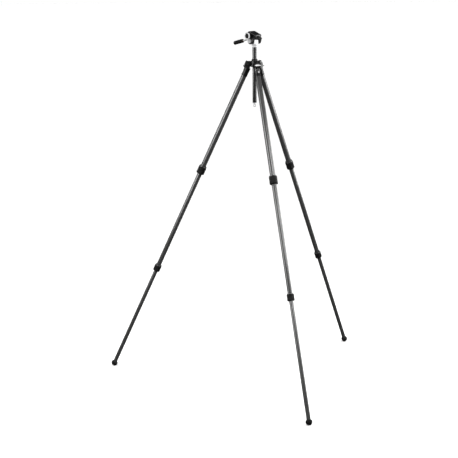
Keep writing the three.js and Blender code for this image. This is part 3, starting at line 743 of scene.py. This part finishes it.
def end_cap_and_loop(place):
    """The cap under the column, with an eye, and the ballast loop that hangs in it."""
    high = span("column_end_cap", place)[1]
    hang = (place.inverted() @ Vector(JOINTS["ballast_loop_swing"]["pos_m"])).z
    rim = high.z - 10.0
    radius, spigot, eye_radius = high.y, 7.8, 3.3
    cap = turned([(0, rim - 4), (radius - 1.6, rim - 4, 1.0), (radius, rim - 2.6, 0.6),
                  (radius, rim, 0.3), (spigot, rim), (spigot, high.z, 0.8), (0, high.z)])
    boss = arc(0, hang, eye_radius, 180, 360, 16)
    eye = prism([*boss, (eye_radius, rim - 3), (-eye_radius, rim - 3)], -2, 2, along="x")
    hole = shifted(to_forward(rod(2.0, -4, 4)), z=hang)
    piece("column_cap", bevelled(cut(joined(cap, eye), hole), 0.35), place, "column",
          "satin_silver", ["column_end_cap"])

    low, high = span("ballast_loop", place)
    wire = (high.y - low.y) / 2 * 1.15
    ring = (high.x - low.x) / 2 - wire
    centre = (low.z + high.z) / 2
    bm = bmesh.new()
    steps, sides = 64, 20
    verts = []
    for i in range(steps):
        turn = 2 * math.pi * i / steps
        for k in range(sides):
            side = 2 * math.pi * k / sides
            reach = ring + wire * math.cos(side)
            verts.append(bm.verts.new((reach * math.cos(turn), wire * math.sin(side),
                                       centre + reach * math.sin(turn))))
    for i in range(steps):
        for k in range(sides):
            a, b = i * sides, (i + 1) % steps * sides
            n = (k + 1) % sides
            bm.faces.new((verts[a + k], verts[a + n], verts[b + n], verts[b + k]))
    bmesh.ops.recalc_face_normals(bm, faces=bm.faces)
    piece("ballast_ring", bm, place, "ballast_loop", "bright_steel", ["ballast_loop"])


# ------------------------------------------------------------------ head

def head_base(place):
    """The flared base, hollow at the top for the pan drag cartridge."""
    low, high = span("head_base", place)
    foot, rim, stud_bore, pocket = 9.9, high.x, 5.1, 9.1
    flare = [(foot, low.z, 0.3), (foot, low.z + 1.4, 0.2), (foot - 0.3, low.z + 1.7, 0.2),
             (foot - 0.3, low.z + 2.3, 0.2), (foot + 0.2, low.z + 2.6, 0.3),
             (foot + 0.8, low.z + 4), (rim, high.z - 2.0, 1.5), (rim, high.z, 0.4)]
    shape = turned([(0, low.z + 3.6), (stud_bore, low.z + 3.6), (stud_bore, low.z), *flare,
                    (pocket, high.z), (pocket, high.z - 9), (0, high.z - 9)], FINE_ROUND)
    piece("base_flare", shape, place, "column", "satin_silver", ["head_base"])


def pan_knob(place):
    """The knob behind the base, with its screw along y."""
    low, high = span("pan_lock_knob", place)
    height = (low.z + high.z) / 2
    radius, neck, neck_radius, screw = (high.z - low.z) / 2, 16.2, 4, 2
    knob = turned([(0, low.y), (screw, low.y), (screw, neck), (neck_radius, neck, 0.3),
                   (neck_radius, neck + 0.7), (radius, neck + 1.3, 0.5), (radius, 20),
                   (radius, high.y - 0.8, 0.5), (radius - 1, high.y, 0.5), (0, high.y)],
                  FINE_ROUND, ribs(12, 0.5, neck + 1, high.y - 0.6, 1.0, radius - 0.6))
    lay = Matrix.Translation((0, 0, height)) @ Matrix.Rotation(-math.pi / 2, 4, "X")
    piece("pan_knob", moved(knob, lay), place, "pan_lock_knob", "black_plastic",
          ["pan_lock_knob"])


def pan_post(place):
    """The post between the yoke's arms, round-topped about the tilt axis."""
    low, high = span("pan_post", place)
    half, crown, rim = 14.0, high.z, span("head_base", place)[1].x
    foot, flange, round_limit = -10.7, -13.7, 17.4
    outline = [*arc(0, 0, crown, 0, 180, 28), (-crown, foot - 1), (crown, foot - 1)]
    body = through_modifier(prism(outline, -half, half), "BOOLEAN",
                            rod(round_limit, -30, 30, FINE_ROUND),
                            operation="INTERSECT", solver="MANIFOLD")
    disc = rod(rim, flange, foot, FINE_ROUND)
    spindle = rod(4, low.z, flange + 1)
    axle_hole = to_near_side(rod(AXLE_HOLE, -half - 1, half + 1, 48))
    shape = bevelled(cut(joined(body, disc, spindle), axle_hole), 0.7)
    piece("post", shape, place, "pan_post", "satin_silver", ["pan_post"], POST_METAL)


def tilt_yoke(place):
    """The upside-down U whose arms carry the tilt axle."""
    high = span("tilt_yoke", place)[1]
    half, reach, top = high.y, high.x, high.z
    bar_low, gap = 12.7, 15.3
    outline = [(-reach, top), *arc(0, 0, reach, 180, 360, 28), (reach, top)]
    slot = block((-reach - 2, -gap, -reach - 2), (reach + 2, gap, bar_low))
    axle_hole = to_near_side(rod(AXLE_HOLE, -half - 1, half + 1, 48))
    shape = bevelled(cut(prism(outline, -half, half), slot, axle_hole), 1.1)
    piece("yoke", shape, place, "tilt_head", "black_casting", ["tilt_yoke"])


def tilt_knobs(place):
    """The tilt lock's disc on the near arm and the end cap on the far arm."""
    low, high = span("tilt_lock_knob", place)
    radius, inner, outer = high.z, -high.y, -low.y
    dish, count = outer - 0.7, 36
    knob = turned([(0, inner), (radius - 0.8, inner, 0.3), (radius, inner + 0.8, 0.3),
                   (radius, outer - 1.0, 0.5), (radius - 1.6, outer, 0.5),
                   (radius - 3.0, outer, 0.3), (radius - 3.6, dish, 0.3), (0, dish)],
                  count * 5, ribs(count, 0.45, inner, outer - 0.4, 1.0, radius - 1))
    piece("tilt_knob", to_near_side(knob), place, "tilt_lock_knob", "satin_silver",
          ["tilt_lock_knob"], DISC_SILVER)

    low, high = span("tilt_end_cap", place)
    face, outer, radius = low.y, high.y, 8.3
    cap = turned([(0, face), (radius, face, 0.2), (radius, outer - 1.2, 0.3), (7.2, outer, 0.5),
                  (0, outer)])
    cap = cut(cap, rod(2.6, outer - 1.6, outer + 1, 6))
    piece("tilt_cap", moved(to_near_side(cap), Matrix.Rotation(math.pi, 4, "Z")), place,
          "tilt_head", "satin_silver", ["tilt_end_cap"])


def handle(place):
    """The socket behind the near arm, and the rod, collar and grip along the handle's axis."""
    twist = JOINTS["handle_twist"]
    inverse = place.inverted()
    root = inverse @ Vector(twist["pos_m"])
    aim = (inverse.to_3x3() @ Vector(twist["axis"])).normalized()
    slope = math.atan2(-aim.z, -aim.x)
    side = Vector((math.sin(slope), 0, -math.cos(slope)))
    across, turn = Vector((0, 1, 0)), place.to_3x3()
    along = placed(place @ root, turn @ across.cross(aim), turn @ across, turn @ aim)

    low, high = span("handle_socket", place)
    upper, under = root - side * 7.2, root + side * 7.2
    outline = [(high.x, root.z + 8), (upper.x + 5, root.z + 8.4), (upper.x, upper.z),
               (under.x, under.z), (high.x, root.z - 8.5)]
    to_root = inverse @ along
    bore = moved(rod(HANDLE_BORE, span("handle_rod", along)[0].z - 0.5, 2), to_root)
    shape = bevelled(cut(prism(outline, low.y, high.y), bore), 1.2)
    piece("handle_boss", shape, place, "tilt_head", "satin_silver", ["handle_socket"], POST_METAL)

    low, high = span("handle_rod", along)
    radius, lip = 4, 0.5
    shape = turned([(0, low.z), (radius, low.z, lip), (radius, high.z, lip), (0, high.z)], 48)
    piece("handle_bar", shape, along, "handle", "satin_silver", ["handle_rod"], KNOB_SILVER)

    low, high = span("handle_collar", along)
    rim, groove = high.y, high.y - 0.5
    shape = turned([(HANDLE_BORE, low.z, 0.2), (rim - 1.0, low.z, 0.4), (rim, low.z + 1.5, 0.5),
                    (rim, low.z + 2.6, 0.2), (groove, low.z + 3.0, 0.2),
                    (groove, low.z + 3.6, 0.2), (rim, low.z + 4.0, 0.2), (rim, high.z, 0.4),
                    (HANDLE_BORE, high.z)], 72)
    piece("handle_ferrule", shape, along, "handle", "black_casting", ["handle_collar"],
          BROWN_COLLAR)

    low, high = span("handle_grip", along)
    rim, start, end = high.y, low.z, high.z
    bore_end, ridge, valley = start + 19, rim - 0.1, rim - 0.9
    first, pitch, count = start + 7, 5.0, 9
    profile = [(0, bore_end), (HANDLE_BORE, bore_end), (HANDLE_BORE, start),
               (rim - 0.9, start, 0.5), (rim, start + 2.4, 1.0)]
    for i in range(count):
        at = first + i * pitch
        profile += [(ridge, at, 0.3), (valley, at + 0.8, 0.3), (valley, at + 1.5, 0.3),
                    (ridge, at + 2.3, 0.3)]
    profile += [(rim, end - 3.4, 1.6), (rim - 2.6, end, 1.6), (0, end)]
    shape = turned(profile, FINE_ROUND)
    piece("handle_sleeve", shape, along, "handle", "black_rubber", ["handle_grip"])


def jaw_guides(radius, start, end, segments, height):
    """The moving jaw's two guide pins, or their holes, between two places towards -y."""
    return [shifted(to_near_side(rod(radius, start, end, segments)), x=x, z=height)
            for x in (-JAW_GUIDE_SIDE, JAW_GUIDE_SIDE)]


def clamp(place):
    """The clamp's bed with its fixed jaw, the moving jaw, and the knob's ring and core."""
    low, high = span("clamp_base", place)
    length, edge = high.x, high.y
    split, bed_top, lip, bottom = -low.y, 30.5, high.z, low.z
    flank = [(14.5, lip), (JAW_FLANK, JAW_FLANK_HEIGHT), (14.4, bed_top)]
    section = [(-split, bottom), (edge, bottom), (edge, lip), *flank, (-split, bed_top)]
    screw_axis = (place.inverted() @ Vector(JOINTS["clamp_knob_turn"]["pos_m"])).z
    trough_half = 8.3
    trough = block((-length - 1, -trough_half, screw_axis - 1), (length + 1, trough_half, lip))
    screw_hole = shifted(to_near_side(rod(2.8, 9.3, split + 1)), z=screw_axis)
    guides = jaw_guides(2.1, 7.5, split + 1, 20, screw_axis)
    bed = prism(section, -length, length, along="x")
    shape = bevelled(cut(bed, trough, screw_hole, *guides), 0.6)
    piece("clamp_bed", shape, place, "tilt_head", "black_casting", ["clamp_base"])

    face, back = split + 0.35, -span("clamp_jaw", place)[0].y
    section = [(-face, bottom), (-face, bed_top), (-JAW_FLANK, JAW_FLANK_HEIGHT), (-14.5, lip),
               (-back + 1.6, lip), (-back, lip - 1.6), (-back, bottom)]
    pins = jaw_guides(1.8, 8, face + 1, 24, screw_axis)
    hole = shifted(to_near_side(rod(3.0, split - 1, back + 1)), z=screw_axis)
    shape = cut(joined(prism(section, -length, length, along="x"), *pins), hole)
    piece("jaw", bevelled(shape, 0.6), place, "clamp_jaw", "black_casting", ["clamp_jaw"])

    low, high = span("clamp_knob_ring", place)
    radius, inner, outer = high.x, -high.y, -low.y
    bore, count = span("clamp_knob_core", place)[1].x + 0.3, 30
    ring = turned([(bore, inner, 0.3), (radius - 1.8, inner, 0.8), (radius, inner + 1.8, 0.8),
                   (radius, outer - 2.0, 0.8), (radius - 2.0, outer, 0.8), (bore + 0.6, outer, 0.5),
                   (bore, outer - 1.0, 0.3)], count * 8,
                  ribs(count, 0.6, inner + 1.0, outer - 1.6, 1.4, radius - 1.2))
    piece("clamp_knob_rim", shifted(to_near_side(ring), z=screw_axis), place, "clamp_knob",
          "satin_silver", ["clamp_knob_ring"], KNOB_SILVER)

    low, high = span("clamp_knob_core", place)
    reach, tip, rim = -low.y, -high.y, high.x
    shank, neck, shoulder, dish = 2.5, 4.4, 28.6, reach - 1.4
    core = turned([(0, tip), (shank, tip, 0.5), (shank, shoulder), (neck, shoulder, 0.3),
                   (neck, inner + 1), (rim, inner + 1, 0.4), (rim, reach - 0.8, 0.5),
                   (rim - 1, reach, 0.4), (rim - 2.8, reach, 0.4), (rim - 3.6, dish, 0.5),
                   (3.4, dish, 0.5), (2.8, reach - 0.4, 0.5), (0, reach - 0.4)], FINE_ROUND)
    piece("clamp_knob_hub", shifted(to_near_side(core), z=screw_axis), place, "clamp_knob",
          "black_plastic", ["clamp_knob_core"])


def plate(place):
    """The quick-release plate, its ridged pad and the captive camera screw."""
    low, high = span("quick_release_plate", place)
    length, edge, top, bottom = high.x, high.y, high.z, low.z
    deck, keel, keel_edge = 35.2, 14, JAW_FLANK - 0.5
    half = [(keel, bottom), (keel_edge, JAW_FLANK_HEIGHT), (keel, 35.0), (keel, deck),
            (edge, deck), (edge, top)]
    section = half + [(-y, z) for y, z in reversed(half)]
    recess = rod(8.1, bottom - 1, bottom + 2.5, 48)
    shape = cut(prism(section, -length, length, along="x"), rod(3.5, bottom - 1, top + 1), recess)
    piece("plate_body", bevelled(shape, 0.45), place, "release_plate", "grey_metal",
          ["quick_release_plate"])

    low, high = span("plate_pad", place)
    pad = block(low, high)
    hole = rod(4.1, low.z - 1, high.z + 1, 40)
    grooves = [block((x, low.y + 2.5, high.z - 0.4), (x + 1.1, high.y - 2.5, high.z + 1))
               for x in (-20, -17, -14, -11, 10, 13, 16, 19)]
    piece("plate_cushion", bevelled(cut(pad, hole, *grooves), 0.2, 2), place, "release_plate",
          "black_rubber", ["plate_pad"])

    low, high = span("camera_screw", place)
    head, base, tip = high.x, low.z, high.z
    crest, root, pitch, under_head = 3.1, 2.5, 1.27, base + 2.2
    thread = [(0, base), (head, base, 0.5), (head, under_head, 0.5), (crest, under_head)]
    turns = int((tip - base - 3.4) / pitch)
    for i in range(turns):
        at = base + 2.9 + i * pitch
        thread += [(root, at), (crest, at + pitch / 2)]
    thread += [(2.4, tip - 0.2, 0.2), (0, tip)]
    screw = cut(turned(thread, 40), block((-9, -0.8, base - 1), (9, 0.8, base + 1.1)))
    piece("plate_screw", screw, place, "camera_screw", "bright_steel", ["camera_screw"])


# ------------------------------------------------------------------ the object

for leg_name in LEGS:
    dress_leg(leg_name)
column_frame = column_place()
spider(column_frame)
column(column_frame)
end_cap_and_loop(column_frame)
head_base(column_frame)
pan_knob(column_frame)
pan_post(head_place(level=True))
head_frame = head_place(level=False)
for make in (tilt_yoke, tilt_knobs, handle):
    make(head_frame)
platform = sum(span("quick_release_plate", head_frame), Vector()) / 2
platform_frame = head_frame @ Matrix.Translation((platform.x, platform.y, 0))
for make in (clamp, plate):
    make(platform_frame)

# The inner pieces that stay as the CAD made them.
for node_name, material in (("column_bush", MATERIALS["white_nylon"]),
                            ("pan_drag_cartridge", MATERIALS["white_nylon"]),
                            ("tilt_drag_cartridge", MATERIALS["white_nylon"]),
                            ("tilt_axle", AXLE_STEEL)):
    inner_mesh = frame["nodes"][node_name].data
    inner_mesh.materials.clear()
    inner_mesh.materials.append(material)


# ------------------------------------------------------------------ studio

def floor():
    """Pale paint, well past the edges of the picture."""
    bpy.ops.mesh.primitive_plane_add(size=120)
    plane = bpy.context.object
    plane.name = "studio_floor"
    s = Shader("studio_floor_paint", specular=0.1, kept=True)
    tone = s.noise(0.002, 2.0)
    plane.data.materials.append(s.finish(s.colours(tone, (0.3, grey(0.93)), (0.7, grey(0.96))),
                                         s.ramp(tone, 0.85, 0.95)))
    plane.visible_glossy = False
    plane.visible_diffuse = False


def softbox(name, at, target, size, power):
    """A rectangular lamp that faces a target."""
    light = bpy.data.lights.new(name, "AREA")
    light.shape = "RECTANGLE"
    light.size, light.size_y = size
    light.energy = power
    obj = bpy.data.objects.new(name, light)
    obj.location = at
    obj.rotation_euler = (Vector(target) - Vector(at)).to_track_quat("-Z", "Y").to_euler()
    obj.visible_camera = False
    bpy.context.scene.collection.objects.link(obj)


def sky():
    """White for the camera, bright overhead for diffuse light, and dim in reflections."""
    world = bpy.data.worlds.new("studio")
    bpy.context.scene.world = world
    world.use_nodes = True
    tree = world.node_tree
    background = tree.nodes["Background"]
    background.inputs["Color"].default_value = (1, 1, 1, 1)
    rays = tree.nodes.new("ShaderNodeLightPath")
    place = tree.nodes.new("ShaderNodeTexCoord")
    height = tree.nodes.new("ShaderNodeSeparateXYZ")
    tree.links.new(place.outputs["Generated"], height.inputs[0])
    overhead = tree.nodes.new("ShaderNodeMapRange")
    for name, value in (("From Min", 0.6), ("From Max", 0.85), ("To Min", 0.24), ("To Max", 2.12)):
        overhead.inputs[name].default_value = value
    tree.links.new(height.outputs["Z"], overhead.inputs["Value"])
    level = overhead.outputs["Result"]
    for ray, strength in (("Is Glossy Ray", 0.06), ("Is Camera Ray", 1.0)):
        mix = tree.nodes.new("ShaderNodeMix")
        tree.links.new(rays.outputs[ray], mix.inputs["Factor"])
        tree.links.new(level, mix.inputs["A"])
        mix.inputs["B"].default_value = strength
        level = mix.outputs["Result"]
    tree.links.new(level, background.inputs["Strength"])


def camera():
    """The photograph's viewing angle: 6 m away, looking 12 degrees down, with a long lens."""
    x, y, _ = JOINTS["column_lock_turn"]["pos_m"]
    aside, away, eye_height, aim_height = 0.1252, 5.8273, 1.9855, 0.7351
    eye = Vector((x - aside, y - away, eye_height))
    aim = Vector((x - aside, y, aim_height))
    data = bpy.data.cameras.new("camera")
    data.lens = 97.2
    data.sensor_width = 36
    obj = bpy.data.objects.new("camera", data)
    bpy.context.scene.collection.objects.link(obj)
    turn = (aim - eye).to_track_quat("-Z", "Y").to_matrix().to_4x4()
    roll = Matrix.Rotation(-0.007, 4, "Z")
    obj.matrix_world = Matrix.Translation(eye) @ turn @ roll
    bpy.context.scene.camera = obj


floor()
sky()
softbox("left_panel", at=(-3.1, -1.5, 1.9), target=(0, 0, 1.2), size=(2.6, 2.0), power=88)
softbox("right_panel", at=(3.3, 0.45, 1.45), target=(0.1, 0.1, 1.3), size=(2.1, 1.9), power=95)
softbox("front_box", at=(2.0, -2.65, 3.0), target=(0.1, -0.2, 1.1), size=(1.3, 1.1), power=50)
camera()
bpy.context.scene.view_settings.view_transform = "Standard"
